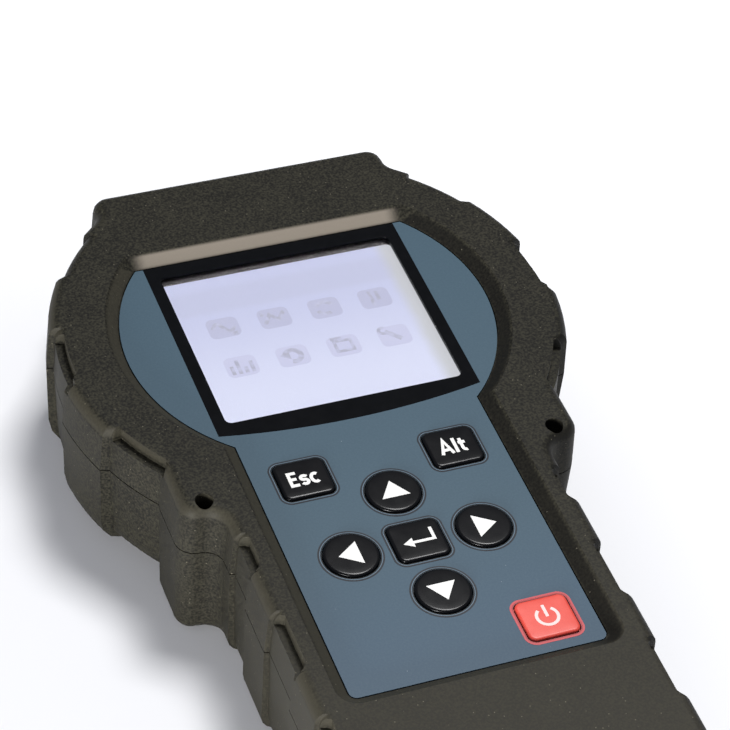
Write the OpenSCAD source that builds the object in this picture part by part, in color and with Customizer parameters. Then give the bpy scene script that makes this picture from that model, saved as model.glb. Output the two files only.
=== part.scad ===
// Handheld vibration meter: a two-shell moulded casing with a round head, a ribbed grip, a sunken
// keypad panel, a lit display and everything that such an instrument holds inside.
// Millimetres. The back lies on z = 0, the display faces +Z and the head points to +Y.

/* [Casing] */
// Height of the casing, from its back to the top of the rim
case_h = 40; // [36:0.5:46]
// From the panel's round lobes out to the widest line of the head
head_rim_w = 17; // [15:0.1:20]
// From the panel's sides out to the widest line of the grip
grip_rim_w = 9.85; // [8.5:0.05:13]
// Length of the grip below the panel
hand_len = 66.4; // [60:0.2:80]
// Radius of the grip's two lower corners
grip_end_r = 12; // [8:0.5:16]
// Width of the shoulder at the far end
shoulder_w = 75.6; // [70:0.2:82]
// Straight length of the shoulder's sides
shoulder_run = 1; // [0.4:0.1:10]
// Thickness of the casing's side walls
wall_t = 3; // [2.4:0.1:3.6]
// Thickness of the rear shell's floor
floor_t = 3; // [2:0.1:4]
// Depth of the parting line below the top of the rim
seam_down = 12.9; // [12:0.1:14]
// Width of the open line between the two shells
seam_gap = 0.3; // [0.2:0.05:0.6]

/* [Edges and ribs] */
// Rounding of the rim's outer edge
rim_edge_r = 3; // [2.4:0.1:3.2]
// Rounding of the back's edge round the head
head_edge_r = 10; // [6:0.5:10]
// Rounding of the back's edge along the grip
grip_edge_r = 5; // [3:0.5:6]
// Rounding of the back's edge at the ears and the shoulder
small_edge_r = 3.4; // [2:0.1:3.6]
// Depth of the rib steps round the head
head_rib = 1.4; // [0.8:0.1:2]
// Depth of the rib steps along the grip
grip_rib = 0.9; // [0.6:0.1:1.4]
// How much deeper the rib steps are at the back, as a share of their depth
rib_flare_share = 0.6; // [0:0.1:1]
// Angle from one rib of the head to the next
head_rib_angle = 33.7; // [32:0.1:35]
// From the round corner of the grip's end up to the lowest rib
grip_rib_low = 4.3; // [2:0.1:10]
// Width of the pockets cut in the rim's edge behind each step
pocket_w = 2.6; // [1.2:0.1:2.8]
// Depth of those pockets below the top of the rim
pocket_d = 3.4; // [3.4:0.1:5]

/* [Waist ears] */
// How far the ears stand out past the grip
ear_out = 8.8; // [7.8:0.1:10]
// From the centre of the head down to the ears' lower side
ear_down = 52.3; // [50:0.1:56]
// Radius of the ears' outer corner
ear_r = 4.6; // [4.4:0.1:5.4]
// Diameter of the strap hole through each ear
strap_hole_d = 4.2; // [3:0.1:4.6]

/* [Panel] */
// How far the panel lies below the rim
rim_depth = 2.5; // [1.5:0.1:3.5]
// Width of the slope from the rim down to the panel
rim_slope_w = 3.1; // [2:0.1:4]
// How far the panel's round lobes reach past the corners of the display's surround
lobe_lap = 1.27; // [0.8:0.01:3]
// From the square keys out to the panel's sides
plate_side = 5.45; // [4.5:0.05:8]
// From the power key down to the panel's lower edge
plate_foot = 3.45; // [2.5:0.05:8]
// Thickness of the panel
plate_t = 0.8; // [0.6:0.1:1.2]

/* [Display] */
// Width of the black surround
mask_w = 63.3; // [58:0.1:70]
// Height of the surround between its upper edge and its lower corners
mask_h = 57.7; // [52:0.1:64]
// From the upper square keys up to the surround's lower corners
mask_up = 12.55; // [10:0.05:16]
// How far the surround's lower edge bows down between its corners
mask_bow = 2.9; // [1:0.1:4]
// Width of the surround beside the visible display
mask_side = 2.95; // [2.4:0.05:4]
// Width of the surround below the visible display
mask_foot = 3.3; // [2.4:0.1:5]
// Width of the surround above the visible display
mask_head = 3.8; // [3:0.1:6]
// How far the display lies below the panel
view_depth = 2.3; // [2.2:0.1:2.8]

/* [Keys] */
// Diameter of the round keys
round_key_d = 12.4; // [11:0.1:12.8]
// Width of the square keys
square_key_w = 11.8; // [10:0.1:12.2]
// Height of the square keys, along the grip
square_key_h = 10.9; // [10:0.1:11.5]
// From the enter key to the left and right keys
key_pitch_x = 15.5; // [14.8:0.1:18]
// From the enter key to the up and down keys
key_pitch_y = 15.3; // [14.6:0.1:18]
// How far the keys stand above the panel
key_rise = 0.7; // [0.5:0.1:1.2]
// How far a key travels
key_travel = 0.4; // [0.3:0.05:0.5]
// Gap round a key in the panel
key_gap = 0.3; // [0.2:0.05:0.4]

/* [Sockets and cells] */
// Radius of the sensor socket's barrel
barrel_r = 4.8; // [4.5:0.05:5]
// How far the barrel stands out of its flange
barrel_len = 9.5; // [8:0.5:11]
// Radius of the headphone socket's bore
jack_r = 1.8; // [1.75:0.05:2]
// Diameter of a battery cell
cell_d = 14.5; // [14:0.1:14.6]
// Length of a battery cell
cell_len = 50.5; // [49:0.5:51]

/* [Hidden] */
$fn = 64;
over = 1;            // how far a cut runs past what it cuts
plate_gap = 0.3;     // open line round the panel
slip = 0.1;          // clearance round a piece that is laid in place
free = 0.4;          // clearance round a piece that moves

// Places that follow from one another, from the keys outwards to the casing's sides. Lengths along
// the grip are counted from the enter key.
square_out = 2.3;             // from the round keys' column out to the square keys' column
square_up = 9.2;              // from the up key to the upper square keys
power_out = 3.1;              // from the right key's column out to the power key
power_down = 13.4;            // from the down key to the power key
square_x = key_pitch_x + square_out;
square_y = key_pitch_y + square_up;
power_x = key_pitch_x + power_out;
power_y = -key_pitch_y - power_down;
plate_w = 2 * (square_x + square_key_w / 2 + plate_side);
plate_low = square_key_h / 2 + plate_foot - power_y;
mask_low = square_y + square_key_h / 2 + mask_up;
plate_top = mask_low + mask_h;
view_w = mask_w - 2 * mask_side;
view_h = mask_h - mask_foot - mask_head;
view_y = mask_low + mask_foot + view_h / 2;
head_shift = 0.15;            // the head's centre lies a little above the surround's middle
head_y = mask_low + mask_h / 2 + head_shift;
plate_r = norm([mask_w / 2, mask_h / 2 + head_shift]) + lobe_lap;
head_r = plate_r + head_rim_w;
grip_w = plate_w + 2 * grip_rim_w;
grip_len = plate_low + hand_len;
ear_x = grip_w / 2 + ear_out;
ear_y = head_y - ear_down;
seam_z = case_h - seam_down;

// The two shells are lofts. Their outline is a row of stations, from the grip's lower end up to the
// shoulder, which is mirrored for the other side. A station is
// [x, y, outward x, outward y, rib depth, pocket share, rounding of the back's edge].
grip_x = grip_w / 2;
shoulder_x = shoulder_w / 2;
draft = 0.5;                  // how far a wall leans in from the parting line to its ends
corner_spare = 0.6;           // how much larger a corner is than the rounding of its edge
shoulder_r = max(rim_edge_r, small_edge_r) + draft + corner_spare;
ear_fillet = ear_x - ear_r - grip_x;                // hollow between an ear and the grip
ear_foot = ear_y - ear_fillet;                      // where the hollow starts
rib_run_share = 0.53;         // set-back stretch of the grip, as a share of the ribs' distance
first_run_share = 0.33;       // the same for the uppermost stretch, which is shorter
rib_ramp = 1.8;               // length of the ramp at its lower end
rib_count = 4;                // set-back stretches on each side of the grip
rib_top = ear_foot - 2 * rib_ramp;                  // where the uppermost stretch ends
grip_corner = grip_end_r - grip_len;                // where the round corner of the grip's end ends
grip_rib_pitch = (rib_top - rib_ramp - grip_rib_low - grip_corner) / (rib_count - 1 + first_run_share);
rib_first = rib_top - first_run_share * grip_rib_pitch;   // where it starts
step_len = 0.35;              // length of the sharp step at a stretch's upper end
first_gap = 2.73;             // angle from the shoulder to the nearest step
turn_slack = 1;               // angle by which the hollow at the shoulder stops short
ear_start = -80;              // angles where an ear's corner starts, and where the hollow
ear_hollow_end = 96;          // between it and the grip ends
head_run = 16.2;              // angle of a set-back stretch of the head
head_ramp = 0.9;              // half the angle of the ramp at its lower end
head_step = 0.35;             // angle of the sharp step at its upper end
pocket_stop = 2.2;            // angle from a pocket's upper end to the step
// The lowest step faces partly sideways, so it is wider and grows with the ribs
low_step = 0.9 * head_rib;

function rib_ramp_y(k) = rib_first - k * grip_rib_pitch;
function rib_step_y(k) = k == 0 ? rib_top : rib_ramp_y(k) + rib_run_share * grip_rib_pitch;

// stations along the side of the grip, from the lowest rib to the highest
function grip_station(y, rib, pocket) = [grip_x, y, 1, 0, rib, pocket, grip_edge_r];
function grip_rib_stations(k) = let (low = rib_ramp_y(k), high = rib_step_y(k), r = rib_ramp) [
    grip_station(low - r, 0, 0), grip_station(low - r + step_len, 0, 0.7),
    grip_station(low - r / 2, 0, 1), grip_station(low + r / 2, grip_rib, 1),
    grip_station((low + high) / 2, grip_rib, 1), grip_station(high - r, grip_rib, 1),
    grip_station(high - 0.7 * r, grip_rib, 0.7), grip_station(high - 0.5 * r, grip_rib, 0),
    grip_station(high - step_len, grip_rib, 0), grip_station(high, 0, 0)
];

// stations along an arc; a hollow one has its centre outside the casing
function arc_stations(cx, cy, r, from, to, n, edge_from, edge_to, hollow = false) = [
    for (i = [0 : n]) let (a = from + (to - from) * i / n, s = hollow ? -1 : 1)
        [cx + r * cos(a), cy + r * sin(a), s * cos(a), s * sin(a), 0, 0,
         edge_from + (edge_to - edge_from) * i / n]
];

// stations round the head
function head_station(a, rib, pocket) =
    [head_r * cos(a), head_y + head_r * sin(a), cos(a), sin(a), rib, pocket, head_edge_r];
function head_stretch(from, to, n, rib, pocket) =
    [for (i = [0 : n]) head_station(from + (to - from) * i / n, rib, pocket)];
head_join = -acos(ear_x / (head_r - head_rib));     // where the head meets the ear
function step_angle(k) = head_first - k * head_rib_angle;
shoulder_fillet = 4;
shoulder_join = asin((shoulder_x + shoulder_fillet) / (head_r + shoulder_fillet));
fillet_y = head_y + (head_r + shoulder_fillet) * cos(shoulder_join);
shoulder_len = fillet_y + shoulder_r + shoulder_run;
head_last = 90 - turn_slack - shoulder_join;
head_first = head_last - first_gap;                 // angle of the step nearest the shoulder
head_stations = concat(
    head_stretch(head_join, step_angle(2) - pocket_stop, 5, head_rib, 1),
    head_stretch(step_angle(2) - pocket_stop + head_step, step_angle(2) - low_step, 1, head_rib, 0),
    head_stretch(step_angle(2), step_angle(1) - head_run - 3 * head_ramp, 4, 0, 0),
    head_stretch(step_angle(1) - head_run - 2 * head_ramp, step_angle(1) - head_run - head_ramp, 1, 0, 1),
    head_stretch(step_angle(1) - head_run + head_ramp, step_angle(1) - pocket_stop, 5, head_rib, 1),
    head_stretch(step_angle(1) - pocket_stop + head_step, step_angle(1) - head_step, 1, head_rib, 0),
    head_stretch(step_angle(1), step_angle(0) - head_run - head_ramp, 5, 0, 0),
    head_stretch(step_angle(0) - head_run + head_ramp, step_angle(0) - head_step, 5, head_rib, 0),
    head_stretch(step_angle(0), head_last, 1, 0, 0)
);

half_outline = concat(
    arc_stations(grip_x - grip_end_r, grip_end_r - grip_len, grip_end_r, -90, 0, 8,
        grip_edge_r, grip_edge_r),
    [for (k = [rib_count - 1 : -1 : 0]) each grip_rib_stations(k)],
    arc_stations(grip_x + ear_fillet, ear_foot, ear_fillet, 180, ear_hollow_end, 5,
        grip_edge_r, small_edge_r, true),
    arc_stations(ear_x - ear_r, ear_y + ear_r, ear_r, ear_start, 0, 5, small_edge_r, small_edge_r),
    [[ear_x, head_y + (head_r - head_rib) * sin(head_join) - head_rib, 1, 0, 0, 0, small_edge_r]],
    head_stations,
    arc_stations(shoulder_x + shoulder_fillet, fillet_y, shoulder_fillet, 180 + head_last, 180, 5,
        head_edge_r, small_edge_r, true),
    arc_stations(shoulder_x - shoulder_r, shoulder_len - shoulder_r, shoulder_r, 0, 90, 5,
        small_edge_r, small_edge_r)
);
half_n = len(half_outline);

// A ring of the loft: every station moved inwards by what shape(station) gives as [inset, z],
// up the right side and down the left.
function moved(s, inset, z) = let (rib = s[4] * (1 + rib_flare_share * (case_h - z) / case_h))
    [s[0] - s[2] * (inset + rib), s[1] - s[3] * (inset + rib), z];
function ring(half) = concat(half, [for (i = [len(half) - 1 : -1 : 0]) [-half[i].x, half[i].y, half[i].z]]);

// the rim's edge: wall, then either a rounding or a pocket with an upright inner wall
rim_steps = 4;
rim_wall_z = case_h - rim_edge_r;
pocket_z = case_h - pocket_d;
function rounding_z(inset) =
    rim_wall_z + sqrt(max(0, pow(rim_edge_r, 2) - pow(rim_edge_r - inset + draft, 2)));
function rim_point(s, level) = let (cut = pocket_w * s[5], part = (level - 2) / rim_steps)
    level == 0 ? [0, seam_z] :
    level == 1 ? [draft, pocket_z] :
    part == 1 ? [draft + rim_edge_r, case_h] :
    cut > 0 ? [cut, pocket_z + (rounding_z(cut) - pocket_z) * part * rim_steps / (rim_steps - 1)] :
    [draft + rim_edge_r * (1 - cos(90 * part)), rim_wall_z + rim_edge_r * sin(90 * part)];
function front_ring(level) =
    ring([for (s = half_outline) let (p = rim_point(s, level)) moved(s, p[0], p[1])]);

// the back's edge: wall, then a rounding whose size changes from station to station
back_steps = 4;
function back_point(s, level) = let (a = 90 * (level - 1) / back_steps)
    level == 0 ? [0, seam_z - seam_gap] : [draft + s[6] * (1 - cos(a)), s[6] * (1 - sin(a))];
function back_ring(level) =
    ring([for (s = half_outline) let (p = back_point(s, level)) moved(s, p[0], p[1])]);

// A closed loft through rings of equal length. Its two ends are closed by strips that join each
// right-hand point to the left-hand one.
module loft(rings, upwards) {
    n = len(rings[0]);
    m = len(rings);
    points = [for (r = rings) each r];
    sides = [for (k = [0 : m - 2], i = [0 : n - 1]) let (a = k * n + i, b = k * n + (i + 1) % n)
        each [[a, b + n, b], [a, a + n, b + n]]];
    function strip(base) = [for (i = [0 : half_n - 2])
        each [[base + i, base + i + 1, base + n - 2 - i], [base + i, base + n - 2 - i, base + n - 1 - i]]];
    ends = concat(strip(0), [for (f = strip((m - 1) * n)) [f[2], f[1], f[0]]]);
    faces = concat(sides, ends);
    polyhedron(points, upwards ? faces : [for (f = faces) [f[2], f[1], f[0]]]);
}

module front_loft() loft([for (level = [0 : rim_steps + 2]) front_ring(level)], true);
module rear_loft() loft([for (level = [0 : back_steps + 1]) back_ring(level)], false);

// everything is drawn with the enter key at x = y = 0 and then moved, so that the middle of the
// casing and its socket lies over the origin
flange_t = 1.8;               // thickness of the sensor socket's flange
flange_sink = 1.6;            // how deep the flange sits in the end face
tip_y = shoulder_len - flange_sink + flange_t + barrel_len;
mid_y = (tip_y - grip_len) / 2;
module placed() translate([0, -mid_y, 0]) children();

// a rectangle with round corners, centred
module rounded(w, h, r) {
    square([w - 2 * r, h], center = true);
    square([w, h - 2 * r], center = true);
    for (x = [-1, 1], y = [-1, 1]) translate([x * (w / 2 - r), y * (h / 2 - r)]) circle(r);
}
module slab(w, h, r, z0, z1, y = 0) translate([0, y, z0]) linear_extrude(z1 - z0) rounded(w, h, r);
module rod(x, y, r, z0, z1) translate([x, y, z0]) cylinder(r = r, h = z1 - z0);

// hollow of the shells
head_in_r = head_r - head_rib * (1 + rib_flare_share / 2) - wall_t;
grip_in_x = grip_x - grip_rib * (1 + rib_flare_share / 2) - wall_t;
shoulder_in_x = shoulder_x - draft - wall_t;
grip_in_low = -grip_len + wall_t;
shoulder_in_top = shoulder_len - wall_t;
hollow_r = grip_end_r - wall_t;
module hollow(grow = 0, low = grip_in_low, end_grow = undef) {
    top = shoulder_in_top + (is_undef(end_grow) ? grow : end_grow);
    intersection() {
        translate([0, head_y]) circle(head_in_r + grow, $fn = 96);
        translate([-head_r, 0]) square([2 * head_r, top]);
    }
    translate([0, (head_y + low) / 2])
        rounded(2 * (grip_in_x + grow), head_y - low + 2 * grow, hollow_r + grow);
    translate([-shoulder_in_x - grow, head_y])
        square([2 * (shoulder_in_x + grow), top - head_y]);
}

// heights of the layers behind the panel
plate_z = case_h - rim_depth;
seat_z = plate_z - plate_t;
panel_t = 2.2;                // thickness of the front shell behind the panel
inner_z = seat_z - panel_t;
view_z = plate_z - view_depth;

// tongue of the front shell in the rebate of the rear shell, with the seal under it
tongue_t = 1.2;
tongue_h = 2.4;
seal_t = 0.6;
tongue_z = seam_z - tongue_h;
rebate_z = tongue_z - seal_t;

// case screws: at the grip's end, at the waist and beside the display
blind = 1.5;                  // what stays solid past the end of a screw
screw_r = 1.5;
screw_head_r = 2.8;
screw_head_h = 2.4;
socket_r = 1.2;               // recess in a screw's head
socket_d = 1.4;
boss_r = 3.3;
wide_boss_r = 4.8;            // round the screw's head
wide_boss_z = 10;
screw_seat_z = 8;
end_screw_in = 14;            // from the grip's side to its lower screws
screw_spare = 0.4;            // from a screw's hole to the rounding of the back's edge
end_screw_up = draft + grip_edge_r + screw_head_r + 2 * slip + screw_spare;
waist_screw_in = end_screw_up + grip_rib * (1 + rib_flare_share);
waist_screw_down = 15.2;      // below the ears
head_screw_out = 6.85;         // from the display's surround out to the upper screws
head_screw_x = mask_w / 2 + head_screw_out;
head_flat_r = head_r - head_rib * (1 + rib_flare_share) - draft - head_edge_r;
head_screw_r = head_flat_r - screw_head_r - 2 * slip - screw_spare;
screw_up_share = 0.918;
head_screw_up = screw_up_share * sqrt(pow(head_screw_r, 2) - pow(head_screw_x, 2));
screw_places = [
    for (s = [-1, 1]) each [
        [s * (grip_x - end_screw_in), end_screw_up - grip_len],
        [s * (grip_x - waist_screw_in), ear_y - waist_screw_down],
        [s * head_screw_x, head_y + head_screw_up]
    ]
];
screw_tip_z = inner_z - blind;

// boards
board_t = 1.6;
dome_sheet_t = 0.2;
dome_h = 0.6;
dome_r = 4.6;
dome_top_r = 2.6;
key_room = 2.1;               // from the front shell's inside to the keypad board
keypad_board_z = inner_z - key_room - board_t;
keypad_board_in = 6;          // from the panel's sides to the keypad board's sides
keypad_board_w = plate_w - 2 * keypad_board_in;
keypad_board_low = slip - plate_low;
keypad_board_up = 8.5;        // above the upper square keys
keypad_board_top = square_y + keypad_board_up;
keypad_board_h = keypad_board_top - keypad_board_low;
keypad_board_y = (keypad_board_top + keypad_board_low) / 2;
keypad_screw_in = 2.5;        // from the keypad board's sides to its screws
keypad_screw_x = keypad_board_w / 2 - keypad_screw_in;
keypad_screw_shares = [0.69, -0.94];
keypad_screws = [for (x = [-1, 1] * keypad_screw_x, y = keypad_screw_shares * key_pitch_y) [x, y]];
board_gap = 7.3;              // between the keypad board and the main board
main_board_z = keypad_board_z - board_gap - board_t;
main_board_in = 10;           // from the head's inside to the main board
main_board_r = head_in_r - main_board_in;
tab_left_share = 0.204;       // how far the tab reaches past the middle, towards the sensor socket
main_tab_left = -tab_left_share * shoulder_in_x;
main_tab_in = 5.3;            // from the shoulder's inside to the tab's other side
main_tab_w = shoulder_in_x - main_tab_in - main_tab_left;
board_free = 2.4;             // from the walls to the main board's tab
main_tab_top = shoulder_in_top - board_free;
main_neck_w = 2 * (grip_in_x - free);
neck_down = 7.2;              // the main board's lower edge below the ears
main_neck_low = ear_y - neck_down;
main_screw_in = 4.9;          // from the main board's edge to its screws
neck_screw_up = 4.8;          // above the ears' lower side
neck_screw_y = ear_y + neck_screw_up;
main_screws = [for (s = [-1, 1]) each [[s * (main_board_r - main_screw_in), head_y],
    [s * (main_neck_w / 2 - main_screw_in), neck_screw_y]]];
chip_t = 1.4;
// chips as shares of the main board's radius: across, up, width, length
chip_shares = [[0, -0.2, 0.34, 0.34], [0.52, 0.14, 0.22, 0.22], [-0.35, 0.28, 0.18, 0.26],
    [0.44, -0.34, 0.18, 0.13]];
capacitor_r = 2.4;
capacitor_h = 5.2;
capacitor_pitch = 7;
capacitor_left = -20;
capacitor_down = 27.5;        // below the centre of the head
capacitor_y = head_y - capacitor_down;
connector_w = 22;
connector_l = 5;
connector_down = 11;          // below the keypad board's upper edge
connector_y = keypad_board_top - connector_down;
shield_w = 24;
shield_l = 18;
shield_h = 4.4;
shield_t = 0.4;
shield_down = 34;             // from the shoulder's inside to the shield's lower side
buzzer_r = 6;
buzzer_h = 5;
buzzer_hole_r = 1;
// the buzzer's place from the head's centre, as shares of the main board's radius
buzzer_shares = [0.474, 0.442];
buzzer_x = buzzer_shares.x * main_board_r;
buzzer_y = head_y + buzzer_shares.y * main_board_r;
board_screw_r = 1;
board_screw_head_r = 1.9;
board_screw_head_h = 1.3;
board_boss_r = 2.4;

// window stack
mask_top = plate_top;
view_r = 1.6;                 // corners of the visible display
window_lap = 2;               // how far the window reaches behind the surround
window_r = 2;
window_w = view_w + 2 * window_lap;
window_h = view_h + 2 * window_lap;
frame_lap = 2.5;              // how far the gasket and the frame reach past the window
frame_w = window_w + 2 * frame_lap;
frame_h = window_h + 2 * frame_lap;
glass_w = window_w - 2 * free;
glass_h = window_h - 2 * free;
glass_t = 1.9;                // part of the display that stands in the window
frame_t = 3.4;
frame_base_t = 1.2;
frame_z = view_z - glass_t - frame_t;

module mask_outline(grow = 0) {
    bow_r = (pow(mask_w / 2, 2) + pow(mask_bow, 2)) / (2 * mask_bow);
    translate([-mask_w / 2 - grow, mask_low - grow]) square([mask_w + 2 * grow, mask_top - mask_low + grow]);
    intersection() {
        translate([0, mask_low - mask_bow + bow_r]) circle(bow_r + grow, $fn = 180);
        translate([-mask_w / 2 - grow, mask_low - 2 * mask_bow - grow])
            square([mask_w + 2 * grow, 2 * mask_bow + over]);
    }
}

// outline of the panel: two lobes cut off straight at the top, and the keypad part
plate_corner_r = 1.8;
module lobes(grow) intersection() {
    translate([0, head_y]) circle(plate_r + grow, $fn = 96);
    translate([-head_r, 0]) square([2 * head_r, plate_top + grow]);
}
module keypad_area(grow) translate([0, (head_y - plate_low) / 2])
    rounded(plate_w + 2 * grow, head_y + plate_low + 2 * grow, plate_corner_r + grow);

// keys: name, place, round or square
key_corner_r = 1.7;
flange_lip = 1;               // how far a key's flange reaches under the panel
flange_h = 0.8;
lift = 0.3;                   // gap between the flange and the panel
key_bevel = 0.35;
stem_r = 2.2;
key_table = [
    ["esc", -square_x, square_y, false], ["alt", square_x, square_y, false],
    ["up", 0, key_pitch_y, true], ["left", -key_pitch_x, 0, true], ["enter", 0, 0, false],
    ["right", key_pitch_x, 0, true], ["down", 0, -key_pitch_y, true],
    ["power", power_x, power_y, false]
];
function key_spec(name) = [for (k = key_table) if (k[0] == name) k][0];
module key_shape(k, grow) translate([k[1], k[2]])
    if (k[3]) circle(round_key_d / 2 + grow);
    else rounded(square_key_w + 2 * grow, square_key_h + 2 * grow, key_corner_r + max(grow, 0));

// battery box in the grip
cell_gap = 0.6;               // between two cells, and over them
cell_pitch = cell_d + cell_gap;
cells = 4;
cell_tip_r = 2.6;
cell_tip_h = 1;
cell_end = 4.2;               // room for the contacts at each end
contact_t = 0.6;
contact_r = 4.4;              // widest radius of a spring or button
contact_lean = 1.2;           // how much narrower a spring's turn or a button is at its top
box_w = cells * cell_pitch + 2 * cell_gap;
box_l = cell_len + 2 * cell_end;
box_up = 16;                  // from the grip's end to the box
box_low = box_up - grip_len;
box_y = box_low + box_l / 2;
cover_t = 2.4;
cover_sink = 0.2;             // how far the cover lies behind the casing's back
cover_gap = 0.3;
cover_lap = 2.4;
cell_z = cover_t + free + cell_d / 2;
box_top = cell_z + cell_d / 2 + cell_gap;
box_roof = 1.8;
cover_tail = 7;               // the cover's part beyond the box, for its screws
cover_w = box_w + 2 * cover_lap;
cover_l = box_l + 2 * cover_lap + cover_tail;
cover_y = box_low - cover_lap + cover_l / 2;
cover_high = box_low - cover_lap + cover_l;
cover_corner = 4;
cover_screw_x = 12;
box_high = box_low + box_l;
cover_screw_y = box_high + (cover_lap + cover_tail) / 2;
cover_screw_head_r = 2;
cover_screw_head_h = 1.1;
cover_seat_z = cover_sink + slip + cover_screw_head_h;
ridges = 5;                   // finger ridges on the cover
ridge_w = 28;
ridge_t = 1.4;
ridge_d = 0.6;
ridge_up = 6;
lower_hollow_z = 9;           // above this height the hollow has its full width
lower_inset = 5;
box_wall = 1.6;

// sockets in the end face
socket_share = 0.554;         // the sockets' places as shares of the way to the shoulder's inside
jack_share = 0.583;
socket_x = -socket_share * shoulder_in_x;
socket_down = 0.6;            // from the rebate down to the sensor socket's flange
thread_r = 5.6;
flange_r = 7;
socket_z = rebate_z - flange_r - slip - socket_down;
pad_t = 2;                    // pad on the wall's inside, behind the socket
tail_l = wall_t + pad_t - flange_sink + thread_r;
core_r = 2.2;                 // insulator inside the tail
tip_r = 2.4;                  // insulator inside the barrel
tip_back = 2.2;               // how far the insulator's face lies behind the barrel's mouth
barrel_t = 0.7;
pin_r = 0.7;
pin_hole_r = 0.45;
pin_hole_l = 6;
pin_tail = 3;
nut_r = 7.6;
nut_t = 2.4;
usb_x = 2;
usb_w = 9;
usb_h = 3.4;
usb_l = 9;
usb_r = 0.9;
usb_wall = 0.35;
usb_tongue_w = 6.4;
usb_tongue_h = 0.8;
usb_back = 0.6;               // how far the socket's mouth lies behind the end face
usb_z = main_board_z - usb_h / 2;
jack_x = jack_share * shoulder_in_x;
jack_body_r = 3.5;
jack_l = 12;
jack_back = 0.4;
jack_z = main_board_z - jack_body_r;

strap_in = 6.2;               // from the ear's side to the middle of its hole
strap_up = 3.4;
strap_x = ear_x - strap_in;
strap_y = ear_y + strap_up;

// Sunken place for the panel. Its sides slope outwards from the panel's edge up to the rim; the
// cuts run past the rim at the same slope.
sink_h = rim_depth + over;
sink_run = rim_slope_w * sink_h / rim_depth;
module sloped(from, to) polygon([[from, 0], [to, 0], [to + sink_run, sink_h], [from - sink_run, sink_h]]);
// sloped sides facing X, extruded along Y
module sloped_x(half_w, y0, y1) translate([0, y1, plate_z]) rotate([90, 0, 0])
    linear_extrude(y1 - y0) sloped(-half_w, half_w);
// sloped sides facing Y, extruded along X
module sloped_y(half_w, y0, y1) translate([-half_w, 0, plate_z]) rotate([90, 0, 90])
    linear_extrude(2 * half_w) sloped(y0, y1);
module sunken_lobes() intersection() {
    translate([0, head_y, plate_z])
        cylinder(r1 = plate_r + plate_gap, r2 = plate_r + plate_gap + sink_run, h = sink_h);
    sloped_y(head_r, 0, plate_top + plate_gap);
}
module sunken_keypad() {
    half_w = plate_w / 2 + plate_gap;
    low = -plate_low - plate_gap;
    sloped_x(half_w, low + plate_corner_r, head_y);
    sloped_y(half_w - plate_corner_r, low, head_y);
    for (s = [-1, 1]) translate([s * (half_w - plate_corner_r), low + plate_corner_r, plate_z])
        cylinder(r1 = plate_corner_r, r2 = plate_corner_r + sink_run, h = sink_h);
}

module front_shell() placed() color([0.25, 0.24, 0.22]) difference() {
    union() {
        difference() {
            front_loft();
            // hollow behind the panel
            translate([0, 0, seam_z - over]) linear_extrude(inner_z - seam_z + over) hollow();
        }
        // tongue
        translate([0, 0, tongue_z]) linear_extrude(tongue_h + tongue_t) difference() {
            hollow(tongue_t);
            hollow();
        }
        // bosses
        for (p = screw_places) rod(p.x, p.y, boss_r, seam_z, inner_z + slip);
        for (p = keypad_screws) rod(p.x, p.y, board_boss_r, keypad_board_z + board_t, inner_z + slip);
        for (p = main_screws) rod(p.x, p.y, board_boss_r, main_board_z + board_t, inner_z + slip);
    }
    sunken_lobes();
    sunken_keypad();
    translate([0, 0, seat_z]) linear_extrude(plate_t + slip) {
        lobes(plate_gap);
        keypad_area(plate_gap);
    }
    slab(window_w, window_h, window_r, inner_z - over, seat_z + over, view_y);
    for (k = key_table) translate([0, 0, inner_z - over])
        linear_extrude(panel_t + 2 * over) key_shape(k, flange_lip + free);
    for (p = screw_places) rod(p.x, p.y, screw_r + slip / 2, seam_z - over, screw_tip_z + slip);
    for (p = keypad_screws) rod(p.x, p.y, board_screw_r + slip / 2, seam_z, inner_z + panel_t - blind);
    for (p = main_screws) rod(p.x, p.y, board_screw_r + slip / 2, main_board_z, inner_z - blind);
    for (s = [-1, 1]) rod(s * strap_x, strap_y, strap_hole_d / 2, tongue_z - over, case_h + over);
}

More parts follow.
